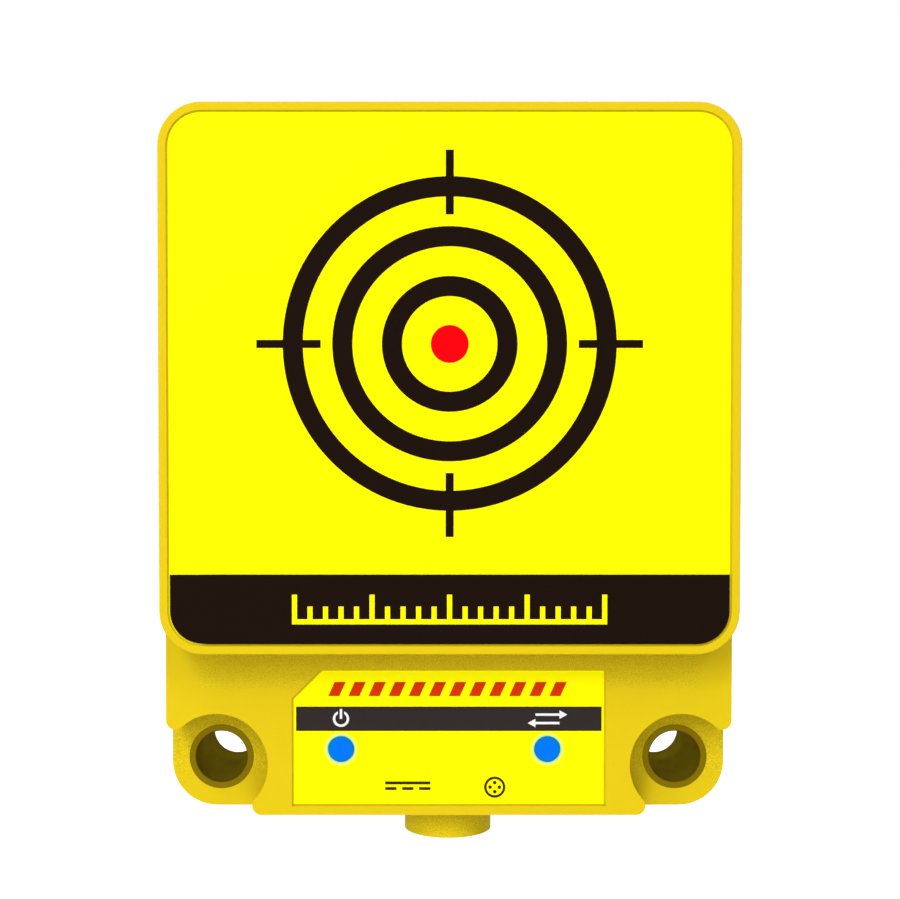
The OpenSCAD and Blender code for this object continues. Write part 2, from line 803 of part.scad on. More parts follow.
module power_inductor() {
    color([0.25, 0.25, 0.27]) translate([coil_x, main_y, coil_z]) rotate([90, 0, 0])
        intersection() {
            translate([-coil_w / 2, -coil_w / 2, 0]) cube([coil_w, coil_w, coil_h]);
            cylinder(h = coil_h, d = 1.25 * coil_w);
        }
}

// Two round capacitors on square bases
module capacitors() {
    for (i = [0, 1])
        translate([cap_x + i * cap_pitch, main_y, cap_z]) rotate([90, 0, 0]) {
            color(plastic_black) translate([-cap_base / 2, -cap_base / 2, 0])
                cube([cap_base, cap_base, cap_base_t]);
            color(steel) cylinder(h = cap_h, d = cap_d);
        }
}

// Block with three legs below and a wide one above
module voltage_regulator() {
    color(plastic_black)
        box([reg_x - reg_w / 2, main_y - reg_t, reg_z - reg_l / 2],
            [reg_x + reg_w / 2, main_y, reg_z + reg_l / 2]);
    color(steel) {
        for (i = [-1:1])
            translate([reg_x + i * reg_pitch, main_y - tab_t, reg_z - reg_l / 2 - tab_l])
                translate([-reg_leg_w / 2, 0, 0]) cube([reg_leg_w, tab_t, tab_l]);
        translate([reg_x - tab_w / 2, main_y - tab_t, reg_z + reg_l / 2]) cube([tab_w, tab_t, tab_l]);
    }
}

module crystal() {
    color(steel) translate([crystal_x, main_y, crystal_z]) rotate([90, 0, 0]) {
        for (s = [-0.5, 0.5])
            translate([0, s * crystal_pitch, 0]) cylinder(h = crystal_h, d = crystal_w);
        translate([-crystal_w / 2, -crystal_pitch / 2, 0]) cube([crystal_w, crystal_pitch, crystal_h]);
    }
}

// Socket strip on the main board and pin strip under the radar board
module header_socket() {
    hole = header_pin + 2 * thread_gap;
    color(plastic_black) difference() {
        box([header_x - header_l / 2, main_y - header_socket_h, header_z - header_pitch],
            [header_x + header_l / 2, main_y, header_z + header_pitch]);
        for (p = header_spots)
            box([p[0] - hole / 2, main_y - header_socket_h - past, p[1] - hole / 2],
                [p[0] + hole / 2, main_y - header_floor, p[1] + hole / 2]);
    }
}

module header_plug() {
    color(plastic_black)
        box([header_x - header_l / 2, radar_back_y, header_z - header_pitch],
            [header_x + header_l / 2, radar_back_y + header_strip_t, header_z + header_pitch]);
    color(copper) for (p = header_spots)
        box([p[0] - header_pin / 2, radar_back_y + header_strip_t / 2, p[1] - header_pin / 2],
            [p[0] + header_pin / 2, main_y - header_pin_gap, p[1] + header_pin / 2]);
}

// ---------- radar board ----------

module radar_board() {
    color(board_green) difference() {
        upright(radar_y, radar_back_y)
            round_rect(radar_w, ring_z - radar_w / 2, ring_z + radar_w / 2, radar_corner);
        for (p = spacer_spots)
            rod_y(p[0], p[1], spacer_screw_d + 4 * thread_gap, radar_y - past, radar_back_y + past);
    }
}

module radar_board_screws() {
    color(steel) for (p = spacer_spots)
        pan_screw(p[0], p[1], spacer_screw_d, radar_t + screw_grip, spacer_head_h, radar_y, 1);
}

module spacer_screws() {
    color(steel) for (p = spacer_spots)
        pan_screw(p[0], p[1], spacer_screw_d, board_t + screw_grip, spacer_head_h, -board_y, -1);
}

// Six-sided spacers with a bore right through
module board_spacers() {
    color(brass) for (p = spacer_spots)
        difference() {
            translate([p[0], main_y, p[1]]) rotate([90, 0, 0])
                cylinder(h = spacer_l, d = spacer_af / cos(30), $fn = 6);
            rod_y(p[0], p[1], spacer_screw_d + 2 * thread_gap, radar_back_y - past, main_y + past);
        }
}

// Columns of square patches on a common feed line, on the front of the radar board
module patch_antennas() {
    color(copper) upright(radar_y - copper_t, radar_y)
        for (i = [-2, -1, 1, 2])
            translate([i * column_x, ring_z]) {
                for (k = [0:patches - 1])
                    translate([-patch_w / 2, k * patch_pitch - patch_pitch]) square([patch_w, patch_h]);
                translate([-feed_w / 2, -patch_pitch - feed_l])
                    square([feed_w, feed_l + (patches - 1) * patch_pitch + patch_h / 2]);
            }
}

module radar_chip() {
    z = ring_z - radar_chip_drop;
    color(plastic_black)
        box([-radar_chip_w / 2, radar_y - radar_chip_t, z], [radar_chip_w / 2, radar_y, z + radar_chip_w]);
}

// ---------- plug socket ----------

module contact_carrier() {
    groove_z = carrier_z + barrel_l / 2;
    color(plastic_black) translate([0, socket_y, 0]) difference() {
        union() {
            translate([0, 0, carrier_z]) cylinder(h = barrel_l + flange_t, d = socket_bore - 2 * slip);
            translate([0, 0, tube_top]) cylinder(h = flange_t, d = flange_d);
        }
        translate([0, 0, groove_z - ring_cord / 2 - slip]) difference() {
            cylinder(h = ring_cord + 2 * slip, d = socket_bore + past);
            translate([0, 0, -past])
                cylinder(h = ring_cord + 2 * past, d = socket_bore - 2 * ring_cord - 2 * slip);
        }
        for (a = pin_angles) rotate(a) translate([pin_circle / 2, 0, carrier_z - past])
            cylinder(h = barrel_l + flange_t + 2 * past, d = pin_d + 2 * slip);
    }
}

// Four pins with rounded tips and a thicker tail for the wire
module contact_pins() {
    cup_d = wire_d + 2 * slip;
    color(brass) translate([0, socket_y, 0]) for (a = pin_angles)
        rotate(a) translate([pin_circle / 2, 0, 0]) difference() {
            union() {
                translate([0, 0, mouth_z + pin_recess + pin_d / 2]) sphere(d = pin_d, $fn = 32);
                translate([0, 0, mouth_z + pin_recess + pin_d / 2])
                    cylinder(h = tail_z - mouth_z - pin_recess - pin_d / 2, d = pin_d);
                translate([0, 0, tail_z - tail_l]) cylinder(h = tail_l, d = tail_d);
            }
            translate([0, 0, tail_z - solder_l]) cylinder(h = solder_l + past, d = cup_d);
        }
}

module carrier_seal() {
    color(rubber) translate([0, socket_y, carrier_z + barrel_l / 2])
        rotate_extrude()
            translate([socket_bore / 2 - ring_cord / 2, 0]) circle(d = ring_cord - slip, $fn = 32);
}

// Lead wires from the pins' tails up, round a bend and back through the main board
module lead_wires() {
    for (w = wires)
        color([0.75, 0.1, 0.1]) {
            translate([w[0], w[1], tail_z - solder_l + slip])
                cylinder(h = w[2] - bend_r - tail_z + solder_l - slip, d = wire_d);
            translate([w[0], w[1] + bend_r, w[2] - bend_r]) rotate([90, 0, -90])
                rotate_extrude(angle = 90) translate([bend_r, 0]) circle(d = wire_d, $fn = 32);
            rod_y(w[0], w[2], wire_d, w[1] + bend_r, -board_y - wire_sink);
        }
}

housing();
rear_cover();
cover_seal();
cover_screws();
left_bush();
right_bush();
front_label();
front_label_black_print();
front_label_yellow_print();
front_label_red_dot();
lower_label();
lower_label_dark_print();
lower_label_red_print();
lower_label_white_print();
left_light_pipe();
right_light_pipe();
left_led();
right_led();
main_board();
main_board_screws();
microcontroller();
power_inductor();
capacitors();
voltage_regulator();
crystal();
header_socket();
header_plug();
radar_board();
radar_board_screws();
board_spacers();
spacer_screws();
patch_antennas();
radar_chip();
contact_carrier();
contact_pins();
carrier_seal();
lead_wires();
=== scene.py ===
import bpy
import bmesh
import math
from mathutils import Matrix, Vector


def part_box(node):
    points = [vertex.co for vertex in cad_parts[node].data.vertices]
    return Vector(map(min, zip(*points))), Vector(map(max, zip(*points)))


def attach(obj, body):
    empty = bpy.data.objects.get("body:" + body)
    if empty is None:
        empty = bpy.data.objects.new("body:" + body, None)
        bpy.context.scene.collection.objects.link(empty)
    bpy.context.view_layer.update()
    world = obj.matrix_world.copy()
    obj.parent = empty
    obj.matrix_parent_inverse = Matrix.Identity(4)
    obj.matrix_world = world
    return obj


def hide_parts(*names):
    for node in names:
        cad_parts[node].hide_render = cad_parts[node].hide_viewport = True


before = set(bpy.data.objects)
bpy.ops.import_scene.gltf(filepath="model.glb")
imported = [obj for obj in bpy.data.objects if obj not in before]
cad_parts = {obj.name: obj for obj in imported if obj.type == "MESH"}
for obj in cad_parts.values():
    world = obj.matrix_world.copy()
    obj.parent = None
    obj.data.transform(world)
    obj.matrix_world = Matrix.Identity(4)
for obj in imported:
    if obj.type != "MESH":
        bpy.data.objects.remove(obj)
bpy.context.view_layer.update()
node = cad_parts

# ---------- viewpoint ----------
# The part is looked at squarely from in front and slightly to the left, from half its height and
# 0.2 m away. A small shift of the lens brings the block into the middle of the picture.
TILT_DOWN = 1.4286  # degrees
view = bpy.data.cameras.new("viewpoint")
view.sensor_width = 36.0
view.lens = 58.5
view.shift_x = 0.03226
view.shift_y = 0.01122
view.clip_start = 0.01
viewpoint = bpy.data.objects.new("viewpoint", view)
viewpoint.location = (-0.00394, -0.23071, 0.0484)
viewpoint.rotation_euler = (math.radians(90 - TILT_DOWN), 0, 0)
bpy.context.scene.collection.objects.link(viewpoint)
bpy.context.scene.camera = viewpoint
bpy.context.scene.view_settings.view_transform = "Standard"

# ---------- studio ----------
# A white studio: a pale surround, a soft main lamp high on the left with weaker ones round the
# front, and two behind. The part hangs free, well above the floor, as it would on a wall.
SURROUND_LIGHT = 0.4
LAMP_DISTANCE, LAMP_SIZE = 2.4, 0.64
FLOOR_LEVEL, FLOOR_RADIUS, FLOOR_GLOW = -0.3, 6.0, 0.75
BLOCK_MIDDLE = Vector((0, -0.015, 0.042))


def feed(tree, socket, value):
    """Links a node's input to another node's output, or sets it to a plain number or colour."""
    if isinstance(value, bpy.types.NodeSocket):
        tree.links.new(value, socket)
    elif socket.type == "RGBA":
        socket.default_value = (*value[:3], 1)
    else:
        socket.default_value = value


def maths(tree, operation, *values):
    """Result of one Math node."""
    made = tree.nodes.new("ShaderNodeMath")
    made.operation = operation
    for socket, value in zip(made.inputs, values):
        feed(tree, socket, value)
    return made.outputs[0]


def step(tree, value, start, end, before=0.0, after=1.0):
    """Goes evenly from one number at start to another at end, and stays level outside them."""
    made = tree.nodes.new("ShaderNodeMapRange")
    for name, amount in (("Value", value), ("From Min", start), ("From Max", end),
                         ("To Min", before), ("To Max", after)):
        feed(tree, made.inputs[name], amount)
    return made.outputs["Result"]


def seen_directly(tree):
    """One where the camera, a mirror or glass shows a thing itself, else nothing."""
    path = tree.nodes.new("ShaderNodeLightPath")
    seen = path.outputs["Is Camera Ray"]
    for ray in ("Is Glossy Ray", "Is Transmission Ray"):
        seen = maths(tree, "MAXIMUM", seen, path.outputs[ray])
    return seen


def inside(material):
    """The node tree of a material, and its shader."""
    material.use_nodes = True
    return material.node_tree, material.node_tree.nodes["Principled BSDF"]


surround = bpy.data.worlds.new("surround")
bpy.context.scene.world = surround
surround.use_nodes = True
tree = surround.node_tree
background = tree.nodes["Background"]
feed(tree, background.inputs["Color"], (1, 1, 1))
feed(tree, background.inputs["Strength"],
     step(tree, seen_directly(tree), 0.0, 1.0, before=SURROUND_LIGHT))

for name, azimuth, elevation, power in (
        ("main_lamp", -30, 40, 14.4), ("low_lamp", -30, 25, 7.0), ("upper_left_lamp", -50, 55, 7.2),
        ("left_lamp", -50, 10, 4.8), ("top_lamp", 10, 55, 3.4), ("upper_right_lamp", 30, 40, 7.0),
        ("front_lamp", -5, 5, 3.4), ("left_back_lamp", -140, 35, 16),
        ("right_back_lamp", 140, 35, 11)):
    light = bpy.data.lights.new(name, "AREA")
    light.shape = "DISK"
    light.size = LAMP_SIZE
    light.energy = power
    turn, rise = math.radians(azimuth), math.radians(elevation)
    away = Vector((math.sin(turn) * math.cos(rise), -math.cos(turn) * math.cos(rise),
                   math.sin(rise)))
    lamp = bpy.data.objects.new(name, light)
    lamp.location = BLOCK_MIDDLE + LAMP_DISTANCE * away
    lamp.rotation_euler = away.to_track_quat("Z", "Y").to_euler()
    bpy.context.scene.collection.objects.link(lamp)

bm = bmesh.new()
bmesh.ops.create_circle(bm, cap_ends=True, radius=FLOOR_RADIUS, segments=64)
bmesh.ops.translate(bm, verts=bm.verts, vec=(0, 0, FLOOR_LEVEL))
floor_mesh = bpy.data.meshes.new("floor")
bm.to_mesh(floor_mesh)
bm.free()
floor = bpy.data.objects.new("floor", floor_mesh)
bpy.context.scene.collection.objects.link(floor)
paper = bpy.data.materials.new("white_paper")
tree, shader = inside(paper)
feed(tree, shader.inputs["Base Color"], (0.72, 0.72, 0.72))
feed(tree, shader.inputs["Roughness"], 0.9)
feed(tree, shader.inputs["Emission Color"], (1, 1, 1))
feed(tree, shader.inputs["Emission Strength"],
     maths(tree, "MULTIPLY", seen_directly(tree), FLOOR_GLOW))
floor_mesh.materials.append(paper)

# ---------- housing ----------
# One moulding of opaque yellow plastic with a fine spark-eroded grain: the square head, the lower
# section with its two lugs and scoops, and the socket boss. The mould leaves small radii on its
# outer edges.
MOULD_RADIUS = 0.0002
BACK, LUG_FACE, LOWER_FACE = 0.0, -0.0193, -0.0249  # flats, from the back to the front
BOSS_MOUTH, BOSS_TOP, HEAD_MIDDLE = -0.0111, -0.0072, 0.04  # heights
HOLE_X, SEAT_R = 0.0329, 0.0052  # a fixing hole's axis, and the zone round its bush's seat
RECESS_X, RECESS_FOOT, RECESS_TOP = 0.0223, -0.006, 0.0137  # the lower label's recess lies within
NEAR = 1e-5  # an edge this near to a level lies on it
TOUCHING = 1e-6  # corners this near to each other are one
FLAT_ANGLE, SHARP_ANGLE = math.radians(0.2), math.radians(25)
FLAT_NORMAL, WALL_NORMAL = 0.99, 0.01  # how far a flat and a wall face the front or the back
YELLOW, YELLOW_DEEP, PLASTIC_GLOSS = (0.81, 0.595, 0.009), (0.79, 0.575, 0.008), 0.035
BOUNCE = 0.2  # share of its colour that a surface throws onto its neighbours
NOISE_LOW, NOISE_HIGH = 0.3, 0.7  # noise seldom leaves these
FINE_DETAIL, BROAD_CELLS, BROAD_DETAIL, BROAD_SHARE = 2.0, 60.0, 3.0, 0.35
GRAIN_ROUGHNESS = 0.12  # how much rougher the grain's pale spots are than its deep ones


def place_on(tree, what="Object"):
    """Place of each point on the part, or the way that its surface faces there."""
    return tree.nodes.new("ShaderNodeTexCoord").outputs[what]


def speckle(tree, cells, detail):
    """Irregular pattern with so many cells to the metre."""
    made = tree.nodes.new("ShaderNodeTexNoise")
    for name, value in (("Vector", place_on(tree)), ("Scale", cells), ("Detail", detail)):
        feed(tree, made.inputs[name], value)
    return made.outputs["Fac"]


def colour_between(tree, factor, first, second):
    """Colour that turns from the first into the second with the factor."""
    made = tree.nodes.new("ShaderNodeMix")
    made.data_type = "RGBA"
    feed(tree, made.inputs["Factor"], factor)
    feed(tree, made.inputs[6], first)
    feed(tree, made.inputs[7], second)
    return made.outputs[2]


def new_group(name, takes, gives):
    """Empty node group, what it is given, and what it puts out."""
    group = bpy.data.node_groups.new(name, "ShaderNodeTree")
    for direction, sockets in (("INPUT", takes), ("OUTPUT", gives)):
        for socket, kind in sockets.items():
            group.interface.new_socket(socket, in_out=direction, socket_type="NodeSocket" + kind)
    given, result = group.nodes.new("NodeGroupInput"), group.nodes.new("NodeGroupOutput")
    return group, given.outputs, result.inputs


def put_in(tree, group, values):
    """Places a group in a material with its own values."""
    made = tree.nodes.new("ShaderNodeGroup")
    made.node_tree = group
    for name, value in values.items():
        feed(tree, made.inputs[name], value)
    return made.outputs


def grain_group():
    """Fine moulded grain: a tone that varies over the surface, its roughness, and its height."""
    group, given, result = new_group(
        "moulded_grain",
        {"Colour": "Color", "Deep Colour": "Color", "Cells": "Float", "Roughness": "Float"},
        {"Colour": "Color", "Roughness": "Float", "Height": "Float"})
    fine = speckle(group, given["Cells"], FINE_DETAIL)
    both = group.nodes.new("ShaderNodeMix")
    feed(group, both.inputs["Factor"], BROAD_SHARE)
    feed(group, both.inputs[2], fine)
    feed(group, both.inputs[3], speckle(group, BROAD_CELLS, BROAD_DETAIL))
    spread = step(group, both.outputs[0], NOISE_LOW, NOISE_HIGH)
    feed(group, result["Colour"],
         colour_between(group, spread, given["Deep Colour"], given["Colour"]))
    feed(group, result["Roughness"],
         maths(group, "MULTIPLY_ADD", spread, GRAIN_ROUGHNESS, given["Roughness"]))
    feed(group, result["Height"], fine)
    return group


moulded_grain = grain_group()


def bounced_off(tree):
    """One where a surface only throws light onto its neighbours, else nothing."""
    return tree.nodes.new("ShaderNodeLightPath").outputs["Is Diffuse Ray"]


def relief(tree, shader, height, strength, depth):
    """Gives a surface a fine relief."""
    made = tree.nodes.new("ShaderNodeBump")
    for name, value in (("Height", height), ("Strength", strength), ("Distance", depth)):
        feed(tree, made.inputs[name], value)
    feed(tree, shader.inputs["Normal"], made.outputs["Normal"])


def grained(name, colour, deep, cells=5000.0, roughness=0.5, gloss=0.2, bump=0.25, depth=0.00002):
    """Material with the fine moulded grain. gloss is the shader's specular level."""
    material = bpy.data.materials.new(name)
    tree, shader = inside(material)
    grain = put_in(tree, moulded_grain, {"Colour": colour, "Deep Colour": deep, "Cells": cells,
                                         "Roughness": roughness})
    thrown = [BOUNCE * part for part in colour]
    feed(tree, shader.inputs["Base Color"],
         colour_between(tree, bounced_off(tree), grain["Colour"], thrown))
    feed(tree, shader.inputs["Roughness"], grain["Roughness"])
    feed(tree, shader.inputs["Specular IOR Level"], gloss)
    relief(tree, shader, grain["Height"], bump, depth)
    return material


def merged_copy(name):
    """The piece's own solid as one closed mesh, with the flats whole again and the sharp edges
    marked, and the layer that says which edges are rounded."""
    mesh = node[name].data.copy()
    mesh.name = "moulded_" + name
    mesh.attributes.remove(mesh.attributes["custom_normal"])
    bm = bmesh.new()
    bm.from_mesh(mesh)
    bmesh.ops.remove_doubles(bm, verts=bm.verts, dist=TOUCHING)
    bmesh.ops.dissolve_limit(bm, angle_limit=FLAT_ANGLE, use_dissolve_boundaries=False,
                             verts=bm.verts, edges=bm.edges, delimit=set())
    for face in bm.faces:
        face.smooth = True
    for edge in bm.edges:
        edge.smooth = edge.calc_face_angle(0) < SHARP_ANGLE
    return mesh, bm, bm.edges.layers.float.new("bevel_weight_edge")


def coat(mesh, material):
    """Gives a mesh its finish."""
    mesh.materials.clear()
    mesh.materials.append(material)


def put_back(mesh, bm, name, radius, material):
    """Puts the worked copy in the place of its CAD node, with its mould radii and its finish."""
    bm.to_mesh(mesh)
    bm.free()
    made = bpy.data.objects.new(mesh.name, mesh)
    bpy.context.scene.collection.objects.link(made)
    radii = made.modifiers.new("mould_radii", "BEVEL")
    radii.limit_method = "WEIGHT"
    radii.width = radius
    radii.segments = 3
    radii.harden_normals = True
    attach(made, "root")
    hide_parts(name)
    coat(mesh, material)


def middle_of(edge):
    """Point halfway along an edge."""
    return (edge.verts[0].co + edge.verts[1].co) / 2


mesh, bm, rounded = merged_copy("housing")
for edge in bm.edges:
    if edge.smooth or not edge.is_convex:
        continue
    at = middle_of(edge)
    flats = [face for face in edge.link_faces if abs(face.normal.y) > FLAT_NORMAL]
    walls = [face for face in edge.link_faces if abs(face.normal.y) < WALL_NORMAL]
    from_hole = math.hypot(abs(at.x) - HOLE_X, at.z)
    if len(flats) == len(walls) == 1 and from_hole > SEAT_R:
        in_recess = abs(at.x) < RECESS_X and RECESS_FOOT < at.z < RECESS_TOP
        levels = (BACK, LUG_FACE) if in_recess else (BACK, LUG_FACE, LOWER_FACE)
        outwards = walls[0].normal.dot(Vector((at.x, 0, at.z - HEAD_MIDDLE))) > 0
        if outwards and any(abs(at.y - level) < NEAR for level in levels):
            edge[rounded] = 1
    elif abs(at.z - BOSS_MOUTH) < NEAR:
        edge[rounded] = 1
yellow_moulding = grained("yellow_moulding", YELLOW, YELLOW_DEEP, gloss=PLASTIC_GLOSS)
put_back(mesh, bm, "housing", MOULD_RADIUS, yellow_moulding)

# The mould is sparked more coarsely below the lip of the head, in the scoops and on the boss.
SPARK_CELLS, SPARK_DETAIL = 6500.0, 1.0
SPARKED, SPARKED_DEEP = (0.96, 0.71, 0.014), (0.65, 0.475, 0.005)
LIP, STRIP_FULL, STRIP_END = 0.0165, 0.0118, 0.0102  # heights of the strip below the lip
STRIP_FULL_X, STRIP_END_X = 0.0345, 0.0365
SCOOP_FULL, SCOOP_END = -0.001, -0.004  # heights
SCOOP_FULL_R, SCOOP_END_R = 0.0070, 0.0078  # round the hole's axis
TEXTURE_EDGE = 0.0001  # width in which one texture goes over into the other


def along(tree, vector):
    """Parts of a vector along X, Y and Z."""
    split = tree.nodes.new("ShaderNodeSeparateXYZ")
    feed(tree, split.inputs[0], vector)
    return split.outputs


def vector_maths(tree, operation, *values):
    """Results of one Vector Math node."""
    made = tree.nodes.new("ShaderNodeVectorMath")
    made.operation = operation
    for socket, value in zip(made.inputs, values):
        feed(tree, socket, value)
    return made.outputs


def axis_group():
    """Distance to an axis that runs from front to back."""
    group, given, result = new_group("axis_distance", {"Axis": "Vector"}, {"Distance": "Float"})
    across = vector_maths(group, "MULTIPLY", place_on(group), (1, 0, 1))["Vector"]
    feed(group, result["Distance"],
         vector_maths(group, "DISTANCE", across, given["Axis"])["Value"])
    return group


axis_distance = axis_group()


def from_axis(tree, x, z=0.0):
    """Distance to the axis through x and z."""
    return put_in(tree, axis_distance, {"Axis": (x, 0, z)})["Distance"]


def in_all(tree, *masks):
    """Mask of what lies in all these masks."""
    common = masks[0]
    for mask in masks[1:]:
        common = maths(tree, "MULTIPLY", common, mask)
    return common


def reaching(socket):
    """What reaches a node's input now: another node's output, or else its plain value."""
    return socket.links[0].from_socket if socket.links else socket.default_value


def turn_colour(tree, socket, factor, colour):
    """Turns the colour that reaches a node's input into another one with the factor."""
    feed(tree, socket, colour_between(tree, factor, reaching(socket), colour))


tree, shader = inside(yellow_moulding)
x, y, z = along(tree, place_on(tree))
from_middle = maths(tree, "ABSOLUTE", x)
below_lip = in_all(tree, step(tree, z, STRIP_END, STRIP_FULL),
                   step(tree, z, LIP + TEXTURE_EDGE, LIP),
                   step(tree, from_middle, STRIP_END_X, STRIP_FULL_X))
from_hole = maths(tree, "MINIMUM", from_axis(tree, -HOLE_X), from_axis(tree, HOLE_X))
in_scoop = in_all(tree, step(tree, from_hole, SCOOP_END_R, SCOOP_FULL_R),
                  step(tree, y, LOWER_FACE, LOWER_FACE + 2 * TEXTURE_EDGE),
                  step(tree, z, SCOOP_END, SCOOP_FULL),
                  step(tree, y, LUG_FACE + 2 * TEXTURE_EDGE, LUG_FACE + TEXTURE_EDGE))
on_boss = step(tree, z, BOSS_TOP + TEXTURE_EDGE, BOSS_TOP - TEXTURE_EDGE)
coarse = maths(tree, "MAXIMUM", maths(tree, "MAXIMUM", below_lip, in_scoop), on_boss)
sparks = step(tree, speckle(tree, SPARK_CELLS, SPARK_DETAIL), NOISE_LOW, NOISE_HIGH)
grain_colour = reaching(shader.inputs["Base Color"]).node.inputs[6]
turn_colour(tree, grain_colour, coarse, colour_between(tree, sparks, SPARKED_DEEP, SPARKED))

# ---------- rear cover, seal and screws ----------
# A flat plate of the same plastic closes the back. It lies on a rubber seal, and six countersunk
# steel screws with cross recesses hold it down.
COVER_RADIUS = 0.00012
RING_DETAIL, RING_ROUGHNESS, RING_STRENGTH, RING_DEPTH = 2.0, 0.2, 0.3, 0.00001
mesh, bm, rounded = merged_copy("rear_cover")
for edge in bm.edges:
    if not edge.smooth and edge.is_convex and abs(middle_of(edge).y - BACK) < NEAR:
        edge[rounded] = 1
yellow_cover = grained("yellow_cover", (0.78, 0.565, 0.009), (0.76, 0.545, 0.008), cells=4200.0,
                       gloss=PLASTIC_GLOSS)
put_back(mesh, bm, "rear_cover", COVER_RADIUS, yellow_cover)


def finish(material, *names):
    """Gives CAD solids their finish."""
    for name in names:
        coat(node[name].data, material)


rubber = grained("black_rubber", (0.03, 0.03, 0.032), (0.015, 0.015, 0.016), cells=3000.0,
                 roughness=0.7)
finish(rubber, "cover_seal", "carrier_seal")


def turned_group():
    """Fine marks of a lathe round the Y axis: a mask of the rings, and their roughness."""
    group, given, result = new_group(
        "turned_marks", {"Vector": "Vector", "Rings": "Float", "Roughness": "Float"},
        {"Mask": "Float", "Roughness": "Float"})
    across = vector_maths(group, "MULTIPLY", given["Vector"], (1, 0, 1))["Vector"]
    radius = vector_maths(group, "LENGTH", across)["Value"]
    noise = group.nodes.new("ShaderNodeTexNoise")
    noise.noise_dimensions = "1D"
    feed(group, noise.inputs["W"],
         maths(group, "ADD", radius, along(group, given["Vector"])["Y"]))
    feed(group, noise.inputs["Scale"], given["Rings"])
    feed(group, noise.inputs["Detail"], RING_DETAIL)
    rings = noise.outputs["Fac"]
    feed(group, result["Mask"], rings)
    feed(group, result["Roughness"],
         maths(group, "MULTIPLY_ADD", rings, RING_ROUGHNESS, given["Roughness"]))
    return group


turned_marks = turned_group()


def turned_metal(name, colour, deep, centre=(0, 0, 0), rings=9000.0, roughness=0.3):
    """Metal with lathe marks round the Y axis through centre."""
    material = bpy.data.materials.new(name)
    tree, shader = inside(material)
    centred = tree.nodes.new("ShaderNodeMapping")
    feed(tree, centred.inputs["Vector"], place_on(tree))
    feed(tree, centred.inputs["Location"], [-c for c in centre])
    marks = put_in(tree, turned_marks, {"Vector": centred.outputs[0], "Rings": rings,
                                        "Roughness": roughness})
    feed(tree, shader.inputs["Base Color"], colour_between(tree, marks["Mask"], deep, colour))
    feed(tree, shader.inputs["Metallic"], 1.0)
    feed(tree, shader.inputs["Roughness"], marks["Roughness"])
    relief(tree, shader, marks["Mask"], RING_STRENGTH, RING_DEPTH)
    return material


finish(turned_metal("plated_steel", (0.62, 0.62, 0.64), (0.45, 0.45, 0.47)),
       "cover_screws", "main_board_screws", "radar_board_screws", "spacer_screws")

# ---------- bushes ----------
# A turned metal tube is pressed into each lug and takes the load of the fixing screw. Its yellow
# passivated finish is bright on the face. It is dull in the bore, where the tool left it rough. The
# bore is painted darker towards its two mouths and lighter in the middle: painted shade that evens
# out the light, which falls more strongly into the bore near its mouths.
BORE_R = 0.0037
FACE_START_R, FACE_FULL_R = BORE_R + 0.00008, BORE_R + 0.00014
FACE_BRIGHT, FACE_DEEP = (0.195, 0.136, 0.003), (0.155, 0.106, 0.0015)
BORE_DULL, BORE_PAINTED_SHADE = (0.243, 0.174, 0.0066), (0.115, 0.082, 0.0031)
MOUTH_SHADE_START, MOUTH_SHADE_FULL = 0.001, 0.009  # from the middle of the bore's length
BORE_BOUNCE = (0.98, 0.98, 0.98)  # the walls of a narrow bore light one another evenly
for name, hole_x in (("left_bush", -HOLE_X), ("right_bush", HOLE_X)):
    metal = turned_metal("metal_of_" + name, FACE_BRIGHT, FACE_DEEP, (hole_x, 0, 0), rings=7000.0,
                         roughness=0.45)
    tree, shader = inside(metal)
    on_face = step(tree, from_axis(tree, hole_x), FACE_START_R, FACE_FULL_R)
    from_middle = maths(tree, "SUBTRACT", along(tree, place_on(tree))["Y"], LUG_FACE / 2)
    # Painted shade: the bore turns darker towards its mouths.
    mouth_shade = step(tree, maths(tree, "ABSOLUTE", from_middle), MOUTH_SHADE_START, MOUTH_SHADE_FULL)
    bore = colour_between(tree, mouth_shade, BORE_DULL, BORE_PAINTED_SHADE)
    bore = colour_between(tree, bounced_off(tree), bore, BORE_BOUNCE)
    base = shader.inputs["Base Color"]
    feed(tree, base, colour_between(tree, on_face, bore, reaching(base)))
    feed(tree, shader.inputs["Metallic"], on_face)
    feed(tree, shader.inputs["Specular IOR Level"], 0.0)
    finish(metal, name)

# ---------- front label ----------
# A printed polyester film lies in the recess of the head, in a bright day-glow yellow. It carries
# three black rings with aiming ticks round a red dot, and a black band with a yellow scale. The
# film and its yellow and red inks are given painted light, a fixed glow that keeps them brighter
# than the lamps alone make them, and the film's cut edges glow more.
# Painted light: the films and their yellow and red inks glow with a fixed light of their own.
FILM, FILM_DEEP, FILM_GLOW = (0.92, 0.865, 0.0), (0.90, 0.845, 0.0), (1.0, 0.86, 0.0)
# Painted light on the cut edges of the films, stronger than on their faces.
FILM_PAINTED_LIGHT, EDGE_PAINTED_LIGHT, EDGE_GLOW = 0.27, 1.3, (0.93, 1.0, 0.0)
SIDEWAYS, OUTWARDS = 0.2, 0.8  # how far the surface of a cut edge and of the face looks outwards


def printed(name, colour, deep, cells=3500.0, roughness=0.5):
    """Ink or film with the faint mottle of print."""
    return grained(name, colour, deep, cells, roughness, gloss=0.03, bump=0.1, depth=0.000005)


def add_glow(material, colour, strength):
    """Gives a material a fixed glow of its own colour: painted light on the day-glow films and
    inks, and the lamp's light in the windows.
    """
    tree, shader = inside(material)
    feed(tree, shader.inputs["Emission Color"], colour)
    feed(tree, shader.inputs["Emission Strength"], strength)
    return material


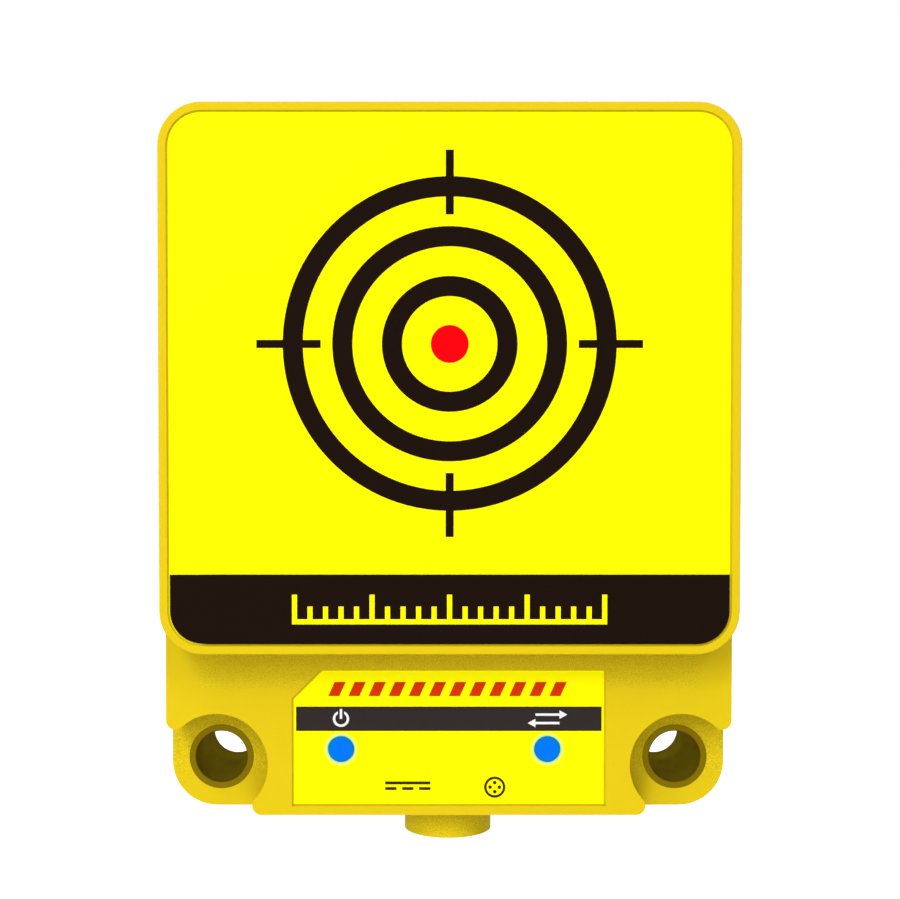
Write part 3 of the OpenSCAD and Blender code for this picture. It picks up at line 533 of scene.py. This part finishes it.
def shining_edges(film):
    """Painted light: the cut edges of a film glow more than its face, and greener, which lights the
    groove round the film.
    """
    tree, shader = inside(film)
    outwards = maths(tree, "ABSOLUTE", along(tree, place_on(tree, "Normal"))["Y"])
    feed(tree, shader.inputs["Emission Strength"],
         step(tree, outwards, SIDEWAYS, OUTWARDS, before=EDGE_PAINTED_LIGHT, after=FILM_PAINTED_LIGHT))
    glow = shader.inputs["Emission Color"]
    feed(tree, glow, colour_between(tree, outwards, EDGE_GLOW, reaching(glow)))
    return film


front_film = shining_edges(add_glow(printed("yellow_film", FILM, FILM_DEEP), FILM_GLOW, FILM_PAINTED_LIGHT))

# The black of the band is carried over the film's cut edge at the foot and on the right, but not on
# the left: painted shade that darkens the groove there, where the lamps light it. The edge's
# painted glow is taken away there too.
BAND_BLACK, BAND_DEEP = (0.0108, 0.0047, 0.0023), (0.0090, 0.0037, 0.0018)
BAND_TOP, BAND_END = 0.02755, 0.0276  # heights
SHADE_START_X, SHADE_FULL_X = -0.0345, -0.0335
tree, shader = inside(front_film)
x, y, z = along(tree, place_on(tree))
band_and_edge_shade = in_all(tree, step(tree, x, SHADE_START_X, SHADE_FULL_X), step(tree, z, BAND_END, BAND_TOP))
turn_colour(tree, shader.inputs["Base Color"], band_and_edge_shade, BAND_BLACK)
# No painted glow where the painted shade lies.
painted_glow_strength = shader.inputs["Emission Strength"]
feed(tree, painted_glow_strength, maths(tree, "MULTIPLY", reaching(painted_glow_strength), maths(tree, "SUBTRACT", 1.0, band_and_edge_shade)))

finish(front_film, "front_label")
finish(printed("band_ink", BAND_BLACK, BAND_DEEP, cells=2500.0), "front_label_black_print")
# Painted light: the yellow scale and the red dot glow with a fixed light, like the film.
finish(add_glow(printed("scale_ink", FILM, FILM_DEEP), FILM_GLOW, FILM_PAINTED_LIGHT),
       "front_label_yellow_print")
finish(add_glow(printed("dot_ink", (0.9, 0.0, 0.004), (0.88, 0.0, 0.003)), (1, 0, 0.004), 0.2),
       "front_label_red_dot")

# ---------- lower label ----------
# A smaller film of the same kind with one cut corner. It has two holes that the lamp windows fill,
# and round each the film glows pale with the lamp's light. It carries red dashes, a dark stripe
# with a white sign over each window, and two small signs at its foot.
WINDOW_R, HALO_REACH, HALO_FADE = 0.00185, 0.00095, 4.0
HALO_COLOUR, HALO_GLOW = (0.0, 0.45, 0.4), (0.0, 0.74, 1.0)
windows = [sum(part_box(name), Vector()) / 2 for name in ("left_light_pipe", "right_light_pipe")]


def from_window(tree):
    """Distance to the axis of the nearer lamp window."""
    return maths(tree, "MINIMUM", *(from_axis(tree, centre.x, centre.z) for centre in windows))


# Painted light: the film glows with a fixed light like the front one, which keeps it bright in the
# shade below the lip.
lower_film = add_glow(printed("lower_film", FILM, FILM_DEEP), FILM_GLOW, FILM_PAINTED_LIGHT)
tree, shader = inside(lower_film)
halo = step(tree, from_window(tree), WINDOW_R + HALO_REACH, WINDOW_R)
halo = maths(tree, "POWER", halo, HALO_FADE)
turn_colour(tree, shader.inputs["Base Color"], halo, HALO_COLOUR)
turn_colour(tree, shader.inputs["Emission Color"], halo, HALO_GLOW)
finish(shining_edges(lower_film), "lower_label")

# The film's yellow shines through the thin lines at the foot and turns their black brown.
THIN_LINES, FOOT_START, FOOT_FULL = (0.039, 0.0243, 0.0), 0.0005, -0.0005
dark_ink = printed("stripe_ink", (0.0335, 0.0255, 0.0230), (0.0305, 0.0225, 0.0205))
tree, shader = inside(dark_ink)
at_foot = step(tree, along(tree, place_on(tree))["Z"], FOOT_START, FOOT_FULL)
turn_colour(tree, shader.inputs["Base Color"], at_foot, THIN_LINES)
finish(dark_ink, "lower_label_dark_print")
finish(printed("dash_ink", (0.75, 0.04, 0.001), (0.70, 0.035, 0.001)), "lower_label_red_print")
finish(printed("sign_ink", (0.93, 0.93, 0.93), (0.90, 0.90, 0.90)), "lower_label_white_print")

# ---------- lamps and their windows ----------
# A clear blue pipe leads the light of each board lamp, which has a white ceramic case, to a window
# flush with the lower label. The light is a little weaker next to the pipe's wall.
WALL_ZONE = 0.00055
window = add_glow(printed("blue_window", (0.0, 0.15, 0.8), (0.0, 0.145, 0.78), roughness=0.2),
                  (0.0, 0.15, 1.0), 0.25)
tree, shader = inside(window)
at_wall = step(tree, from_window(tree), WINDOW_R - WALL_ZONE, WINDOW_R)
turn_colour(tree, shader.inputs["Base Color"], at_wall, (0.0, 0.16, 0.34))
turn_colour(tree, shader.inputs["Emission Color"], at_wall, (0.0, 0.15, 0.35))
finish(window, "left_light_pipe", "right_light_pipe")
finish(grained("white_ceramic", (0.8, 0.8, 0.78), (0.74, 0.74, 0.72), cells=3000.0),
       "left_led", "right_led")

# ---------- plug socket ----------
# The round socket in the boss: a black contact carrier with its sealing ring, and four gold-plated
# pins whose tails take the lead wires inside the housing.
black_plastic = grained("black_plastic", (0.035, 0.035, 0.037), (0.02, 0.02, 0.021), cells=4000.0)
gold = turned_metal("plated_gold", (0.95, 0.68, 0.28), (0.8, 0.55, 0.2), roughness=0.2)
finish(black_plastic, "contact_carrier")
finish(gold, "contact_pins")
finish(grained("red_cover", (0.6, 0.02, 0.015), (0.5, 0.015, 0.01), cells=1500.0, roughness=0.4),
       "lead_wires")

# ---------- boards and their parts ----------
# The main board stands on four posts and carries the radar board on brass spacers. All of it is
# closed in by the rear cover.
finish(grained("green_board", (0.02, 0.16, 0.06), (0.012, 0.11, 0.04), cells=900.0, roughness=0.35,
               gloss=0.5),
       "main_board", "radar_board")
finish(black_plastic, "microcontroller", "radar_chip", "voltage_regulator", "header_socket")
finish(grained("dark_ferrite", (0.06, 0.06, 0.065), (0.04, 0.04, 0.043), cells=2000.0,
               roughness=0.6),
       "power_inductor")
finish(turned_metal("bright_can", (0.7, 0.7, 0.72), (0.58, 0.58, 0.6), rings=3000.0),
       "capacitors", "crystal")
finish(gold, "header_plug", "patch_antennas")
finish(turned_metal("plain_brass", (0.75, 0.56, 0.22), (0.62, 0.45, 0.16)), "board_spacers")
